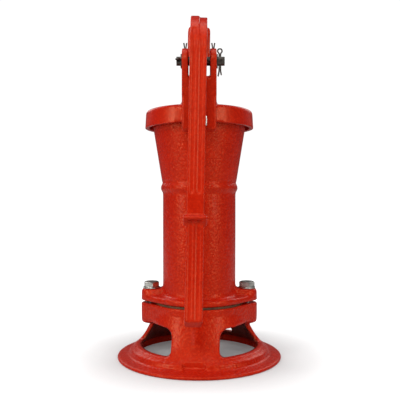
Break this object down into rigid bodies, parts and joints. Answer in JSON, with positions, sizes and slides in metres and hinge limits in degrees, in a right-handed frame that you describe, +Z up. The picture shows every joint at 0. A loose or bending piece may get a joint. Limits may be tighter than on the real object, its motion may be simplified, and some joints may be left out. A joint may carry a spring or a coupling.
{
  "type": "hand pitcher pump",
  "caption": "Cast hand pitcher pump on a windowed round foot, with a lever handle on a revolving cap, a spout, and a plunger and leather valves inside.",
  "frame": {"origin": "middle of the foot, on the ground", "axes": "+Z up along the cylinder's axis; +Y towards the spout, so the handle hangs on the -Y side; +X to the right seen from the handle's side"},
  "size_m": [0.1988, 0.2462, 0.3992],
  "materials": {
    "red_paint": "glossy red enamel over sand-cast iron",
    "leather": "oiled",
    "zinc_steel": "bright zinc",
    "dark_steel": "dark plain steel",
    "bare_iron": "bare cast",
    "brass": "machined"
  },
  "bodies": {
    "pump": {"base_casting": "red_paint", "cylinder_casting": "red_paint", "flange_gasket": "leather", "flange_bolts": "zinc_steel", "flange_washers": "zinc_steel"},
    "cap": {"cap_casting": "red_paint", "cap_set_screw": "zinc_steel", "fulcrum_pin": "dark_steel", "fulcrum_washers": "dark_steel", "fulcrum_cotters": "dark_steel"},
    "lever": {"handle": "red_paint", "rod_pin": "dark_steel", "rod_cotters": "dark_steel"},
    "plunger": {"piston_rod": "zinc_steel", "rod_lock_nut": "zinc_steel", "plunger_cage": "brass", "cup_leather": "leather", "plunger_follower": "brass"},
    "poppet": {"poppet_valve": "brass", "poppet_seal": "leather"},
    "clack": {"valve_flap": "leather", "valve_weight": "bare_iron", "valve_screw": "brass"}
  },
  "joints": [
    {"name": "cap_turn", "type": "hinge", "parent": "pump", "child": "cap", "pos_m": [0, 0, 0.29], "axis": [0, 0, 1], "range_deg": [-120, 120]},
    {"name": "handle_swing", "type": "hinge", "parent": "cap", "child": "lever", "pos_m": [0, -0.058, 0.346], "axis": [-1, 0, 0], "range_deg": [0, 50]},
    {"name": "plunger_slide", "type": "slide", "parent": "cap", "child": "plunger", "axis": [0, 0, -1], "range_m": [0, 0.0535]},
    {"name": "poppet_lift", "type": "slide", "parent": "plunger", "child": "poppet", "axis": [0, 0, 1], "range_m": [0, 0.007]},
    {"name": "clack_lift", "type": "hinge", "parent": "pump", "child": "clack", "pos_m": [0, 0.035, 0.06675], "axis": [-1, 0, 0], "range_deg": [0, 15]}
  ],
  "couplings": [
    {"joint": "plunger_slide", "follows": "handle_swing", "m_per_rad": 0.06073}
  ]
}
